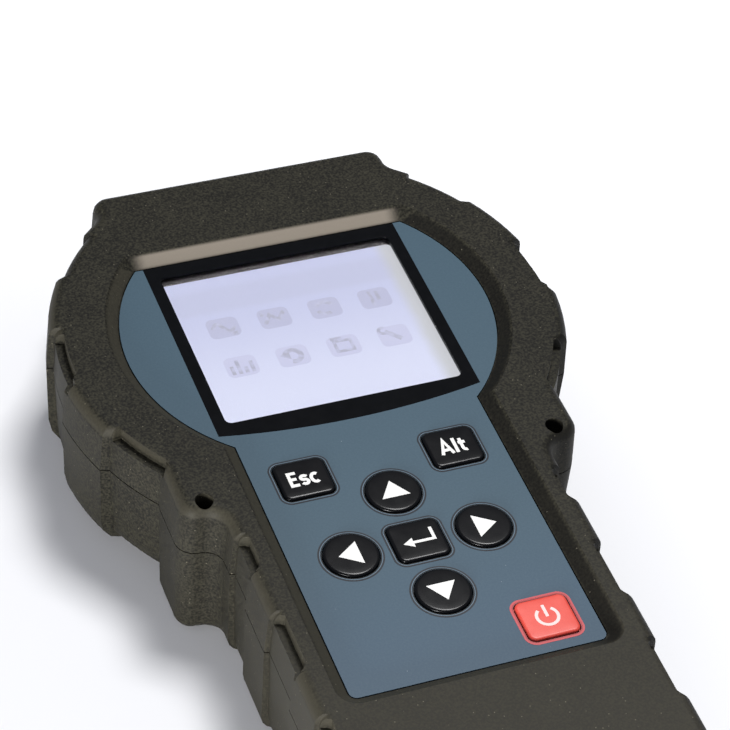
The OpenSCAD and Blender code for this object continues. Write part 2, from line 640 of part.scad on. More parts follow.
module rear_shell() placed() color([0.24, 0.23, 0.21]) difference() {
    union() {
        difference() {
            rear_loft();
            // hollow: round the battery box, over it, and deeper in the head
            translate([0, 0, lower_hollow_z]) linear_extrude(seam_z) difference() {
                hollow();
                translate([-box_w / 2 - box_wall, grip_in_low - over])
                    square([box_w + 2 * box_wall, box_high + box_wall - grip_in_low + over]);
            }
            translate([0, 0, box_top + box_roof]) linear_extrude(seam_z) hollow();
            translate([0, 0, floor_t]) linear_extrude(seam_z)
                hollow(-lower_inset, cover_high + 2 * lower_inset, 0);
            // rebate for the tongue
            translate([0, 0, rebate_z]) linear_extrude(seam_z) hollow(tongue_t + slip);
        }
        for (p = screw_places) {
            rod(p.x, p.y, wide_boss_r, slip, wide_boss_z);
            rod(p.x, p.y, boss_r, slip, seam_z - slip);
        }
        for (x = [-1, 1]) rod(x * cover_screw_x, cover_screw_y, boss_r, cover_t, box_top);
        // pad behind the sensor socket
        translate([socket_x - nut_r, shoulder_in_top - pad_t, floor_t])
            cube([2 * nut_r, pad_t + over, rebate_z - slip - floor_t]);
    }
    // battery box and the seat of its cover
    translate([-box_w / 2, box_low, -over]) cube([box_w, box_l, box_top + over]);
    slab(cover_w + 2 * cover_gap, cover_l + 2 * cover_gap, cover_corner, -over, cover_t + slip,
        cover_y);
    for (x = [-1, 1]) rod(x * cover_screw_x, cover_screw_y, board_screw_r + slip / 2, 0, box_top - blind);
    // case screws
    for (p = screw_places) {
        rod(p.x, p.y, screw_head_r + 2 * slip, -over, screw_seat_z);
        rod(p.x, p.y, screw_r + slip, 0, seam_z);
    }
    for (s = [-1, 1]) rod(s * strap_x, strap_y, strap_hole_d / 2, -over, seam_z + over);
    // openings in the end face
    translate([socket_x, shoulder_in_top - pad_t - over, socket_z]) rotate([-90, 0, 0]) {
        cylinder(r = thread_r + slip, h = wall_t + pad_t + 2 * over);
        translate([0, 0, wall_t + pad_t + over - flange_sink])
            cylinder(r = flange_r + slip, h = flange_t + over);
    }
    translate([jack_x, shoulder_in_top - over, jack_z]) rotate([-90, 0, 0])
        cylinder(r = jack_body_r + slip, h = wall_t + 2 * over);
    translate([usb_x, shoulder_in_top - over, usb_z]) rotate([-90, 0, 0])
        linear_extrude(wall_t + 2 * over) rounded(usb_w + 2 * slip, usb_h + 2 * slip, usb_r + slip);
}

module case_seal() placed() color([0.1, 0.1, 0.1])
    translate([0, 0, rebate_z]) linear_extrude(seal_t) difference() {
        hollow(tongue_t);
        hollow();
    }

module case_screws() placed() color("silver") for (p = screw_places) {
    difference() {
        rod(p.x, p.y, screw_head_r, screw_seat_z - screw_head_h, screw_seat_z);
        rod(p.x, p.y, socket_r, screw_seat_z - screw_head_h - over, screw_seat_z - screw_head_h + socket_d);
    }
    rod(p.x, p.y, screw_r, screw_seat_z - slip, screw_tip_z);
}

module face_plate() placed() color([0.36, 0.44, 0.51]) translate([0, 0, seat_z])
    linear_extrude(plate_t) difference() {
        union() {
            lobes(0);
            keypad_area(0);
        }
        mask_outline(slip / 2);
        translate([-mask_w / 2 - slip / 2, plate_top - over]) square([mask_w + slip, 2 * over]);
        for (k = key_table) key_shape(k, key_gap);
    }

module window_mask() placed() color([0.05, 0.05, 0.06]) translate([0, 0, seat_z])
    linear_extrude(plate_t) difference() {
        mask_outline();
        translate([0, view_y]) rounded(view_w, view_h, view_r);
    }

module window_lens() placed() color([0.85, 0.88, 0.95, 0.4])
    slab(window_w - 2 * slip, window_h - 2 * slip, window_r - slip, view_z + lift, seat_z, view_y);

module window_gasket() placed() color([0.15, 0.15, 0.15]) difference() {
    slab(frame_w, frame_h, window_r, view_z - glass_t, inner_z, view_y);
    slab(window_w, window_h, window_r, view_z - glass_t - over, inner_z + over, view_y);
}

module lcd_frame() placed() color([0.7, 0.7, 0.68]) difference() {
    slab(frame_w, frame_h, window_r, frame_z, view_z - glass_t, view_y);
    slab(glass_w, glass_h, view_r, frame_z + frame_base_t, view_z - glass_t + over, view_y);
}

module lcd_panel() placed() color([0.86, 0.87, 0.98])
    slab(glass_w - 2 * slip, glass_h - 2 * slip, view_r - slip, frame_z + frame_base_t, view_z, view_y);

// A key: a cap with a bevelled top, a flange under the panel and a stem over its dome
module key(name) {
    k = key_spec(name);
    flange_top = seat_z - lift;
    bevel_z = plate_z + key_rise - key_bevel;
    placed() {
        if (k[3]) {
            rod(k[1], k[2], round_key_d / 2, flange_top - slip, bevel_z);
            translate([k[1], k[2], bevel_z])
                cylinder(r1 = round_key_d / 2, r2 = round_key_d / 2 - key_bevel, h = key_bevel);
        } else {
            translate([0, 0, flange_top - slip])
                linear_extrude(bevel_z - flange_top + slip) key_shape(k, 0);
            hull() {
                translate([0, 0, bevel_z]) linear_extrude(slip / 2) key_shape(k, 0, $fn = 32);
                translate([0, 0, bevel_z + key_bevel - slip / 2])
                    linear_extrude(slip / 2) key_shape(k, -key_bevel, $fn = 32);
            }
        }
        translate([0, 0, flange_top - flange_h]) linear_extrude(flange_h) key_shape(k, flange_lip);
        rod(k[1], k[2], stem_r, dome_top + key_travel + lift, flange_top - flange_h + slip);
    }
}
dome_top = keypad_board_z + board_t + dome_sheet_t + dome_h;
module key_esc() color([0.06, 0.06, 0.07]) key("esc");
module key_alt() color([0.06, 0.06, 0.07]) key("alt");
module key_up() color([0.06, 0.06, 0.07]) key("up");
module key_left() color([0.06, 0.06, 0.07]) key("left");
module key_enter() color([0.06, 0.06, 0.07]) key("enter");
module key_right() color([0.06, 0.06, 0.07]) key("right");
module key_down() color([0.06, 0.06, 0.07]) key("down");
module key_power() color([0.9, 0.3, 0.28]) key("power");

module dome_sheet() placed() color([0.75, 0.72, 0.6]) {
    difference() {
        slab(keypad_board_w - free, keypad_board_h - free, window_r, keypad_board_z + board_t,
            keypad_board_z + board_t + dome_sheet_t, keypad_board_y);
        for (p = keypad_screws) rod(p.x, p.y, board_boss_r + free, keypad_board_z, inner_z);
    }
    for (k = key_table) translate([k[1], k[2], keypad_board_z + board_t + dome_sheet_t])
        cylinder(r1 = dome_r, r2 = dome_top_r, h = dome_h);
}

module keypad_board() placed() color([0.1, 0.4, 0.2]) difference() {
    slab(keypad_board_w, keypad_board_h, window_r, keypad_board_z, keypad_board_z + board_t, keypad_board_y);
    for (p = keypad_screws) rod(p.x, p.y, board_screw_r + slip, keypad_board_z - over, inner_z);
}

module board_connector() placed() color([0.9, 0.88, 0.8])
    translate([-connector_w / 2, connector_y, main_board_z + board_t])
        cube([connector_w, connector_l, board_gap]);

// The main board and the parts on it
module main_board() placed() {
    color([0.1, 0.42, 0.22]) translate([0, 0, main_board_z]) linear_extrude(board_t) difference() {
        union() {
            translate([0, head_y]) circle(main_board_r);
            translate([main_tab_left, head_y]) square([main_tab_w, main_tab_top - head_y]);
            translate([-main_neck_w / 2, main_neck_low]) square([main_neck_w, head_y - main_neck_low]);
        }
        for (p = main_screws) translate(p) circle(board_screw_r + slip);
        for (p = screw_places) translate(p) circle(boss_r + free);
    }
    color([0.12, 0.12, 0.13]) for (c = chip_shares)
        translate([c[0] - c[2] / 2, c[1] - c[3] / 2] * main_board_r)
        translate([0, head_y, main_board_z + board_t])
            cube([c[2] * main_board_r, c[3] * main_board_r, chip_t]);
    color([0.6, 0.6, 0.62]) for (i = [0 : 4])
        rod(capacitor_left + capacitor_pitch * i, capacitor_y, capacitor_r,
            main_board_z - capacitor_h, main_board_z);
}

module board_screws() placed() color("silver") {
    for (p = keypad_screws) {
        rod(p.x, p.y, board_screw_r, keypad_board_z - slip, inner_z + slip);
        rod(p.x, p.y, board_screw_head_r, keypad_board_z - board_screw_head_h, keypad_board_z);
    }
    for (p = main_screws) {
        rod(p.x, p.y, board_screw_r, main_board_z - slip, inner_z - blind - slip);
        rod(p.x, p.y, board_screw_head_r, main_board_z - board_screw_head_h, main_board_z);
    }
}

module input_shield() placed() color([0.75, 0.75, 0.78])
    translate([socket_x - shield_w / 3, shoulder_in_top - shield_down, main_board_z - shield_h])
        difference() {
            cube([shield_w, shield_l, shield_h]);
            translate([shield_t, shield_t, shield_t])
                cube([shield_w - 2 * shield_t, shield_l - 2 * shield_t, shield_h]);
        }

module buzzer() placed() color([0.08, 0.08, 0.08]) difference() {
    rod(buzzer_x, buzzer_y, buzzer_r, main_board_z - buzzer_h, main_board_z);
    rod(buzzer_x, buzzer_y, buzzer_hole_r, main_board_z - buzzer_h - over,
        main_board_z - buzzer_h / 2);
}

// places one child a cell, turned end for end from one cell to the next
module at_cells() for (i = [0 : cells - 1])
    translate([(i - (cells - 1) / 2) * cell_pitch, box_y, cell_z])
        rotate([i % 2 == 0 ? -90 : 90, 0, 0]) translate([0, 0, -cell_len / 2]) children();

module battery_cells() placed() color([0.2, 0.35, 0.6]) at_cells() {
    cylinder(r = cell_d / 2, h = cell_len - cell_tip_h);
    cylinder(r = cell_tip_r, h = cell_len);
}

// A contact plate at each end of the box. Each cell stands on a spring, drawn as a stepped cone,
// and its tip meets a button.
module battery_contacts() placed() color([0.8, 0.78, 0.7]) {
    reach = cell_end - contact_t;
    for (e = [-1, 1])
        translate([0, box_y + e * (box_l / 2 - contact_t / 2), cell_z])
            cube([box_w - 2 * slip, contact_t, cell_d - free], center = true);
    at_cells() {
        for (t = [0 : 2]) translate([0, 0, -reach + t * reach / 3])
            cylinder(r1 = contact_r - t * contact_lean / 2,
                r2 = contact_r - contact_lean - t * contact_lean / 2, h = reach / 3 + (t < 2 ? slip : 0));
        translate([0, 0, -reach - slip]) cylinder(r = contact_r, h = 2 * slip);
        translate([0, 0, cell_len])
            cylinder(r1 = contact_r - contact_lean, r2 = contact_r, h = reach + slip);
    }
}

module battery_cover() placed() color([0.24, 0.23, 0.21]) difference() {
    slab(cover_w, cover_l, cover_corner - cover_gap, cover_sink, cover_t, cover_y);
    for (x = [-1, 1]) {
        rod(x * cover_screw_x, cover_screw_y, board_screw_r + slip, -over, cover_t + over);
        rod(x * cover_screw_x, cover_screw_y, cover_screw_head_r + slip, -over, cover_seat_z);
    }
    // finger ridges
    for (i = [0 : ridges - 1]) translate([-ridge_w / 2, box_low + ridge_up + 2 * ridge_t * i, -over])
        cube([ridge_w, ridge_t, over + cover_sink + ridge_d]);
}

module battery_cover_screws() placed() color("silver") for (x = [-1, 1]) {
    rod(x * cover_screw_x, cover_screw_y, cover_screw_head_r, cover_sink + slip, cover_seat_z);
    rod(x * cover_screw_x, cover_screw_y, board_screw_r, cover_seat_z - slip, box_top - 2 * blind);
}

// Sensor socket: barrel, flange and threaded tail
module socket_place() translate([socket_x, shoulder_len - flange_sink, socket_z])
    rotate([-90, 0, 0]) children();
module sensor_socket_body() placed() color([0.8, 0.8, 0.78]) socket_place() difference() {
    union() {
        cylinder(r = flange_r, h = flange_t);
        cylinder(r = barrel_r, h = flange_t + barrel_len);
        translate([0, 0, -tail_l]) cylinder(r = thread_r, h = tail_l + slip);
    }
    translate([0, 0, flange_t]) cylinder(r = barrel_r - barrel_t, h = barrel_len + over);
    translate([0, 0, -tail_l - over]) cylinder(r = core_r + slip / 2, h = tail_l + flange_t + 2 * over);
}
module sensor_socket_insulator() placed() color([0.95, 0.94, 0.9]) socket_place() difference() {
    union() {
        translate([0, 0, -tail_l]) cylinder(r = core_r, h = tail_l + flange_t + slip);
        translate([0, 0, flange_t]) cylinder(r = tip_r, h = barrel_len - tip_back);
    }
    translate([0, 0, -tail_l - over])
        cylinder(r = pin_r + slip / 2, h = tail_l + flange_t + barrel_len + 2 * over);
}
module sensor_socket_contact() placed() color("gold") socket_place() difference() {
    translate([0, 0, -tail_l - pin_tail])
        cylinder(r = pin_r, h = tail_l + pin_tail + flange_t + barrel_len - tip_back - free);
    translate([0, 0, flange_t + barrel_len - pin_hole_l]) cylinder(r = pin_hole_r, h = pin_hole_l);
}
module sensor_socket_nut() placed() color([0.8, 0.8, 0.78]) socket_place()
    translate([0, 0, flange_sink - wall_t - pad_t - nut_t]) difference() {
        cylinder(r = nut_r, h = nut_t, $fn = 6);
        translate([0, 0, -over]) cylinder(r = thread_r + slip / 2, h = nut_t + 2 * over);
    }

module usb_socket() placed() color([0.75, 0.75, 0.77])
    translate([usb_x, shoulder_len - usb_back - usb_l, usb_z]) rotate([-90, 0, 0]) difference() {
        linear_extrude(usb_l) rounded(usb_w, usb_h, usb_r);
        translate([0, 0, usb_wall]) linear_extrude(usb_l) difference() {
            rounded(usb_w - 2 * usb_wall, usb_h - 2 * usb_wall, usb_r - usb_wall);
            square([usb_tongue_w, usb_tongue_h], center = true);
        }
    }

module headphone_socket() placed() color([0.1, 0.1, 0.1])
    translate([jack_x, shoulder_len - jack_back - jack_l, jack_z]) rotate([-90, 0, 0]) difference() {
        cylinder(r = jack_body_r, h = jack_l);
        translate([0, 0, -over]) cylinder(r = jack_r, h = jack_l + 2 * over);
    }

front_shell();
rear_shell();
case_seal();
case_screws();
face_plate();
window_mask();
window_lens();
window_gasket();
lcd_frame();
lcd_panel();
key_esc();
key_alt();
key_up();
key_left();
key_enter();
key_right();
key_down();
key_power();
dome_sheet();
keypad_board();
board_connector();
main_board();
board_screws();
input_shield();
buzzer();
battery_cells();
battery_contacts();
battery_cover();
battery_cover_screws();
sensor_socket_body();
sensor_socket_insulator();
sensor_socket_contact();
sensor_socket_nut();
usb_socket();
headphone_socket();
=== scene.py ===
# %% [markdown]
# A handheld vibration meter lies on its back on a pale floor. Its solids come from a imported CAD
# model, which gives every size. What follows dresses them: finishes for the solids that are right
# as they are, and new pieces where the real one has finer form than the solid.

# %% Start
import math

import bmesh
import bpy
import numpy as np
from mathutils import Matrix, Vector


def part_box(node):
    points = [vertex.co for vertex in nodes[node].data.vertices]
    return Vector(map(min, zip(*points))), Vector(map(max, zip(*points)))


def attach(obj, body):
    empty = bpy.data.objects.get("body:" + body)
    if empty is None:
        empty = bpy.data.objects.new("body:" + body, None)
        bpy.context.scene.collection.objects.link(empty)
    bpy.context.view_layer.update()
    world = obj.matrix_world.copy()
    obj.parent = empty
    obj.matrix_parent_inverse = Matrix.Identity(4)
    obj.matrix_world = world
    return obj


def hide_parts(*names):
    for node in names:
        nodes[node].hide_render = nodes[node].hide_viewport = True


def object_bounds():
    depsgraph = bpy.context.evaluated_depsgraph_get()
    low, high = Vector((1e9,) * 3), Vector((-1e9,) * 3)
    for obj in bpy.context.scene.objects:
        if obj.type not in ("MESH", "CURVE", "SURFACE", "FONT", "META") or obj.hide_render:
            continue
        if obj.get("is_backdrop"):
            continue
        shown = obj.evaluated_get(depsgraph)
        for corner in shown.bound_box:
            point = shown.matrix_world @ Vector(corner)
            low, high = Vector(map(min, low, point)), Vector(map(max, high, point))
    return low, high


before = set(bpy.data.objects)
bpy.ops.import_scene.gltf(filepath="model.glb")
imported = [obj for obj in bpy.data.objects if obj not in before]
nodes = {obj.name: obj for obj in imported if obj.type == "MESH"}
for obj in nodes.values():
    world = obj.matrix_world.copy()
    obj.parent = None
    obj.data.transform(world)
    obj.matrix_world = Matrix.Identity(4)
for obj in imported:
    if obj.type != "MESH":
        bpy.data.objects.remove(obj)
cad_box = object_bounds()
MM = 0.001
print(len(nodes), "solids, size in mm", [round(v / MM, 1) for v in cad_box[1] - cad_box[0]])

# %% [markdown]
# Every finish on the meter is a mixture that changes a little from place to place: moulded plastic
# has a fine grain and collects dust, and printed film has tiny specks. Such mixtures are sums and
# masks, so the sockets get the signs of arithmetic, and one method adds any other node.

# %% Arithmetic on sockets
class Wire:
    """One output of a material's node, which can be added to, multiplied and compared."""

    def __init__(self, finish, socket):
        self.finish, self.socket = finish, socket

    def _math(self, operation, *values):
        inputs = dict(enumerate(values))
        return self.finish.node("ShaderNodeMath", {"operation": operation}, inputs)

    def __add__(self, other): return self._math("ADD", self, other)
    def __radd__(self, other): return self._math("ADD", other, self)
    def __sub__(self, other): return self._math("SUBTRACT", self, other)
    def __rsub__(self, other): return self._math("SUBTRACT", other, self)
    def __mul__(self, other): return self._math("MULTIPLY", self, other)
    def __rmul__(self, other): return self._math("MULTIPLY", other, self)
    def __gt__(self, other): return self._math("GREATER_THAN", self, other)
    def __lt__(self, other): return self._math("LESS_THAN", self, other)
    def __abs__(self): return self._math("ABSOLUTE", self)


# %% One material and its nodes
def linear(red, green, blue):
    """A colour as a screen shows it, 0 to 255, turned into the linear values of a shader."""
    share = np.array([red, green, blue]) / 255
    low, high = share / 12.92, ((share + 0.055) / 1.055) ** 2.4
    return (*np.where(share <= 0.04045, low, high).tolist(), 1.0)


class Finish:
    """A material under way. Constants go on the shader, and what varies is linked to it."""

    def __init__(self, name, colour, roughness=0.5, **constants):
        self.material = bpy.data.materials.new(name)
        self.material.use_nodes = True
        self.tree = self.material.node_tree
        self.shader = self.tree.nodes["Principled BSDF"]
        self.set(base_color=colour, roughness=roughness, **constants)
        places = self.node("ShaderNodeTexCoord", output="Object")
        self.places = places
        split = self.tree.nodes.new("ShaderNodeSeparateXYZ")
        self.tree.links.new(places.socket, split.inputs[0])
        self.x, self.y, self.z = (Wire(self, s) for s in split.outputs)

    def node(self, kind, settings=None, inputs=None, output=0):
        """Adds a node: its settings first, then the values or wires of its inputs."""
        made = self.tree.nodes.new(kind)
        for name, value in (settings or {}).items():
            setattr(made, name, value)
        for name, value in (inputs or {}).items():
            self._give(made.inputs[name], value)
        return Wire(self, made.outputs[output])

    def _give(self, socket, value):
        if isinstance(value, Wire):
            self.tree.links.new(value.socket, socket)
        else:
            socket.default_value = value

    def set(self, **values):
        """Sets or links inputs of the shader, named in lower case with low lines."""
        for name, value in values.items():
            label = name.replace("_", " ").title().replace("Ior", "IOR")
            self._give(self.shader.inputs[label], value)
        return self

    def blend(self, mask, first, second):
        """The first colour where the mask is 0, the second where it is 1."""
        return self.node("ShaderNodeMix", {"data_type": "RGBA"}, {0: mask, 6: first, 7: second}, 2)

    def noise(self, grain_mm, detail=2.0):
        """Cloudy values round one half, whose spots are about grain_mm across."""
        return self.node("ShaderNodeTexNoise", None,
                         {"Vector": self.places, "Scale": 1 / (grain_mm * MM), "Detail": detail})

    def specks(self, apart_mm, radius_mm, share):
        """A mask of round dots, of which only that share of the places holds one."""
        inputs = {"Vector": self.places, "Scale": 1 / (apart_mm * MM)}
        near = self.node("ShaderNodeTexVoronoi", None, inputs, "Distance")
        colour = self.node("ShaderNodeTexVoronoi", None, inputs, "Color")
        chance = self.node("ShaderNodeSeparateColor", None, {0: colour})
        return (near < radius_mm / apart_mm) * (chance < share)

    def ramp(self, value, start, end):
        """A value that climbs smoothly from 0 at start to 1 at end."""
        return self.node("ShaderNodeMapRange", {"interpolation_type": "SMOOTHSTEP"},
                         {0: value, 1: start, 2: end, 3: 0.0, 4: 1.0})

    def climb(self, place, start_mm, end_mm):
        """The ramp for a place along an axis, with its start and end in millimetres."""
        return self.ramp(place, start_mm * MM, end_mm * MM)

    def bump(self, height, depth_mm, strength=1.0):
        """Tilts the surface as if it were raised by the height times depth_mm."""
        normal = self.node("ShaderNodeBump", None,
                           {"Height": height, "Distance": depth_mm * MM, "Strength": strength})
        return self.set(normal=normal)


print("shader kit ready; mid grey is", round(linear(128, 128, 128)[0], 3))

# %% [markdown]
# The casing is moulded in dark olive-brown ABS with a fine spark-eroded grain. The mould's texture
# scatters light, so the plastic looks matte, and pale dust has settled in the grain. Towards the
# grip's end the colour is painted paler, as painted light. The slopes that lead down to the panel
# get painted light and shade: a beige painted reflection on the strip behind the display, painted
# shade nearly black on the right, painted light a little paler on the left. All of it can be read
# from the place on the object, so one finish serves both shells and the cover.

# %% Casing plastic
# Places of the slopes' painted light, shade and reflection, and where the painted light towards the
# grip starts and ends, in millimetres.
SLOPE_FOOT, SLOPE_HEAD = (37.2, 37.9), (39.3, 39.9)
SLOPE_SIDE, STRIP_END = (22, 30), (30, 34.5)
STRIP_NEAR, STRIP_FAR = 83.8, 87.1
PAINTED_LIGHT_FROM, PAINTED_LIGHT_TO = 30, -95


def moulded_finish(name, dark, light):
    """Two noises mix a dark and a light tone. Masks, products of ramps along the axes, then lay a
    painted light towards the grip and the slopes' painted light, shade and reflection over it, and
    dust dots lie on top."""
    made = Finish(name, dark, 0.55, specular_ior_level=0.14)
    grain, patches = made.noise(0.55, 3.0), made.noise(9.0, 2.0)
    colour = made.blend(made.ramp(grain * 0.88 + patches * 0.12, 0.32, 0.72), dark, light)
    slope = made.climb(made.z, *SLOPE_FOOT) * (1 - made.climb(made.z, *SLOPE_HEAD))
    beside = slope * (made.y < STRIP_NEAR * MM)
    behind = slope * (made.y > STRIP_NEAR * MM) * (made.y < STRIP_FAR * MM)
    left = made.climb(made.x, *(-x for x in SLOPE_SIDE))
    layers = [
        # painted light: the casing turns paler towards the grip's end
        (made.climb(made.y, PAINTED_LIGHT_FROM, PAINTED_LIGHT_TO) * 0.5, linear(68, 65, 56)),
        # painted light: the slope left of the panel is made a little paler
        (beside * left * 0.6, linear(64, 61, 51)),
        # painted shade: the slope right of the panel is made nearly black
        (beside * made.climb(made.x, *SLOPE_SIDE) * 0.7, linear(17, 16, 14)),
        # painted reflection: the beige strip on the slope behind the display
        (behind * (1 - made.climb(abs(made.x), *STRIP_END)) * 0.85, linear(140, 131, 119)),
        (made.specks(1.5, 0.14, 0.4) * 0.5, linear(136, 130, 112)),
    ]
    for mask, tone in layers:
        colour = made.blend(mask, colour, tone)
    made.set(base_color=colour, roughness=grain * 0.25 + 0.44)
    return made.bump(grain + made.noise(0.16, 1.0) * 0.6, 0.05, 0.45)


casing = moulded_finish("casing_plastic", linear(20, 19, 16), linear(56, 54, 44))
print("casing finish with", len(casing.tree.nodes), "nodes")

# %% [markdown]
# The panel is a printed polyester film over the keys: blue-grey, a little bluer towards its lower
# end, with a satin surface that shows tiny pale specks. Keys and the surround of the display are
# glossy black, and the power key is coral red.

# %% Panel, key and surround finishes
film = Finish("panel_film", linear(64, 87, 102), 0.42, specular_ior_level=0.33)
film_tone = film.blend(film.climb(film.y, -6, -52), linear(64, 87, 101), linear(61, 85, 104))
mottle = film.ramp(film.noise(0.5, 2.0), 0.35, 0.7) * 0.35
film_tone = film.blend(mottle, film_tone, linear(75, 98, 112))
film_tone = film.blend(film.specks(3.1, 0.1, 0.3) * 0.6, film_tone, linear(170, 180, 188))
film.set(base_color=film_tone, roughness=film.noise(0.3) * 0.2 + 0.34)
film.bump(film.noise(0.25), 0.01, 0.3)


def gloss_finish(name, colour, lift, roughness, shine=0.5):
    """A smooth surface whose tone and gloss drift slightly."""
    made = Finish(name, colour, roughness, specular_ior_level=shine)
    cloud = made.noise(2.2, 2.0)
    made.set(base_color=made.blend(made.ramp(cloud, 0.35, 0.7) * 0.5, colour, lift),
             roughness=made.noise(3.0) * 0.08 + roughness - 0.04)
    return made


surround = gloss_finish("surround_black", linear(5, 6, 8), linear(10, 11, 14), 0.22, 0.15)
key_black = gloss_finish("key_black", linear(5, 5, 7), linear(9, 9, 11), 0.26, 0.26)
key_red = gloss_finish("key_red", linear(234, 80, 66), linear(240, 92, 78), 0.4)
ink_black = gloss_finish("ink_black", linear(5, 6, 8), linear(9, 10, 12), 0.4, 0.3)
ink_white = gloss_finish("ink_white", linear(244, 243, 238), linear(250, 250, 248), 0.45)
ink_blush = gloss_finish("ink_blush", linear(250, 222, 217), linear(252, 230, 226), 0.45)
ink_navy = gloss_finish("ink_navy", linear(14, 20, 30), linear(20, 28, 40), 0.4, 0.4)
ink_pale = gloss_finish("ink_pale", linear(88, 109, 124), linear(100, 120, 136), 0.35)
ink_red = gloss_finish("ink_red", linear(176, 52, 54), linear(190, 62, 62), 0.4)
ink_pink = gloss_finish("ink_pink", linear(204, 74, 80), linear(214, 86, 90), 0.4)
print("printed finishes ready")

# %% [markdown]
# Metal and rubber pieces show at the far end, on the back and between the shells. A metal is mostly
# its reflection, so only its roughness and a faint tint change over it. The pieces inside the
# casing are seldom seen, yet each gets the finish of its own material.

# %% Metals, rubber and inner materials
def metal_finish(name, colour, roughness):
    """Bare metal with a fine drift of its gloss."""
    made = Finish(name, colour, roughness, metallic=1.0)
    drift = made.noise(0.35, 3.0)
    made.set(base_color=made.blend(drift * 0.3, colour, linear(120, 118, 112)),
             roughness=drift * 0.2 + roughness - 0.1)
    return made.bump(drift, 0.01, 0.25)


def plain_finish(name, colour, second, roughness, grain_mm=0.5):
    """Two tones of one material mixed by a noise of its grain."""
    made = Finish(name, colour, roughness)
    grain = made.noise(grain_mm, 2.0)
    made.set(base_color=made.blend(made.ramp(grain, 0.3, 0.7), colour, second),
             roughness=grain * 0.2 + roughness - 0.1)
    return made.bump(grain, 0.02, 0.3)


nickel = metal_finish("nickel", linear(196, 194, 188), 0.28)
zinc = metal_finish("zinc_steel", linear(168, 168, 170), 0.34)
gold = metal_finish("gilt_contact", linear(226, 182, 92), 0.25)
rubber = plain_finish("seal_rubber", linear(20, 20, 21), linear(34, 34, 35), 0.8)
black_plastic = plain_finish("black_plastic", linear(22, 22, 23), linear(38, 38, 39), 0.5)
white_plastic = plain_finish("white_insulator", linear(226, 222, 208), linear(238, 235, 226), 0.4)
bezel_plastic = plain_finish("bezel_grey", linear(96, 90, 88), linear(122, 116, 112), 0.45)
board = plain_finish("circuit_board", linear(20, 74, 44), linear(30, 96, 58), 0.35, 1.4)
domes = plain_finish("dome_foil", linear(184, 178, 150), linear(206, 200, 176), 0.35)
cell_wrap = plain_finish("cell_wrap", linear(44, 66, 110), linear(62, 88, 140), 0.35, 6.0)
print("inner finishes ready")

# %% [markdown]
# The clear window lies over the lit display. Glass is made by transmission with a smooth surface;
# the light behind it comes from the display's own emission.

# %% Window and display light
clear = Finish("window_clear", linear(250, 250, 252), 0.03, transmission_weight=1.0, ior=1.46)
clear.set(roughness=clear.noise(4.0) * 0.02 + 0.01)


def glow_finish(name, colour):
    """A surface that shines with the given colour at strength 1."""
    return Finish(name, linear(6, 6, 8), 0.5, emission_color=colour, emission_strength=1.0)


lit = glow_finish("display_lit", linear(214, 217, 246))
glow = lit.blend(lit.climb(lit.y, 34, 70), linear(228, 232, 255), linear(208, 212, 241))
bar = lit.climb(lit.y, 65.6, 68.0) * (1 - lit.climb(lit.y, 73.6, 76.0))
glow = lit.blend(bar * 0.5, glow, linear(200, 203, 228))
# painted light: the display's unlit grey margin on the right glows like the lit part
grey_side = lit.climb(lit.x + lit.noise(6.0) * (1.2 * MM), 24.2, 28.4)
lit.set(emission_color=lit.blend(grey_side * 0.85, glow, linear(206, 208, 208)))


def ghost_finish(name, dark, light):
    """The tone of a washed-out picture, which drifts between two near colours."""
    made = glow_finish(name, light)
    return made.set(emission_color=made.blend(made.ramp(made.noise(1.6), 0.35, 0.65), dark, light))


faint = ghost_finish("display_faint", linear(207, 209, 236), linear(214, 216, 244))
upper = faint.climb(faint.y, 50, 60)
faint.set(emission_color=faint.blend(upper, linear(211, 213, 240), linear(197, 199, 226)))
marked = ghost_finish("display_marked", linear(184, 185, 206), linear(203, 205, 230))
print("display finishes ready")

# %% [markdown]
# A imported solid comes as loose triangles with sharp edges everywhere. For the two shells and the
# cover a copy is welded, its flat triangles are joined again, and its edges are broken by a small
# round, as moulded plastic has. The faces are weighted by their area, so that flats stay flat.

# %% Softened copies of moulded solids
def welded(node):
    """The solid's corners and triangles with equal corners made one, as numpy arrays."""
    old = nodes[node].data
    places = np.empty(len(old.vertices) * 3, np.float32)
    corners = np.empty(len(old.loops), np.int32)
    old.vertices.foreach_get("co", places)
    old.loops.foreach_get("vertex_index", corners)
    steps = np.round(places.reshape(-1, 3).astype(float) * 1e6)
    unique, where = np.unique(steps, axis=0, return_inverse=True)
    triangles = where.reshape(-1)[corners].reshape(-1, 3)
    whole = (triangles[:, 0] != triangles[:, 1]) & (triangles[:, 1] != triangles[:, 2])
    whole &= triangles[:, 0] != triangles[:, 2]
    return unique * 1e-6, triangles[whole]


def show(mesh, name, finish, body):
    """Puts a mesh into the scene with its finish, and lets it ride on its body."""
    piece = bpy.data.objects.new(name, mesh)
    bpy.context.scene.collection.objects.link(piece)
    mesh.materials.clear()
    mesh.materials.append(finish.material)
    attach(piece, body)
    return piece


FLAT_ANGLE, EDGE_ANGLE = math.radians(0.4), math.radians(30)


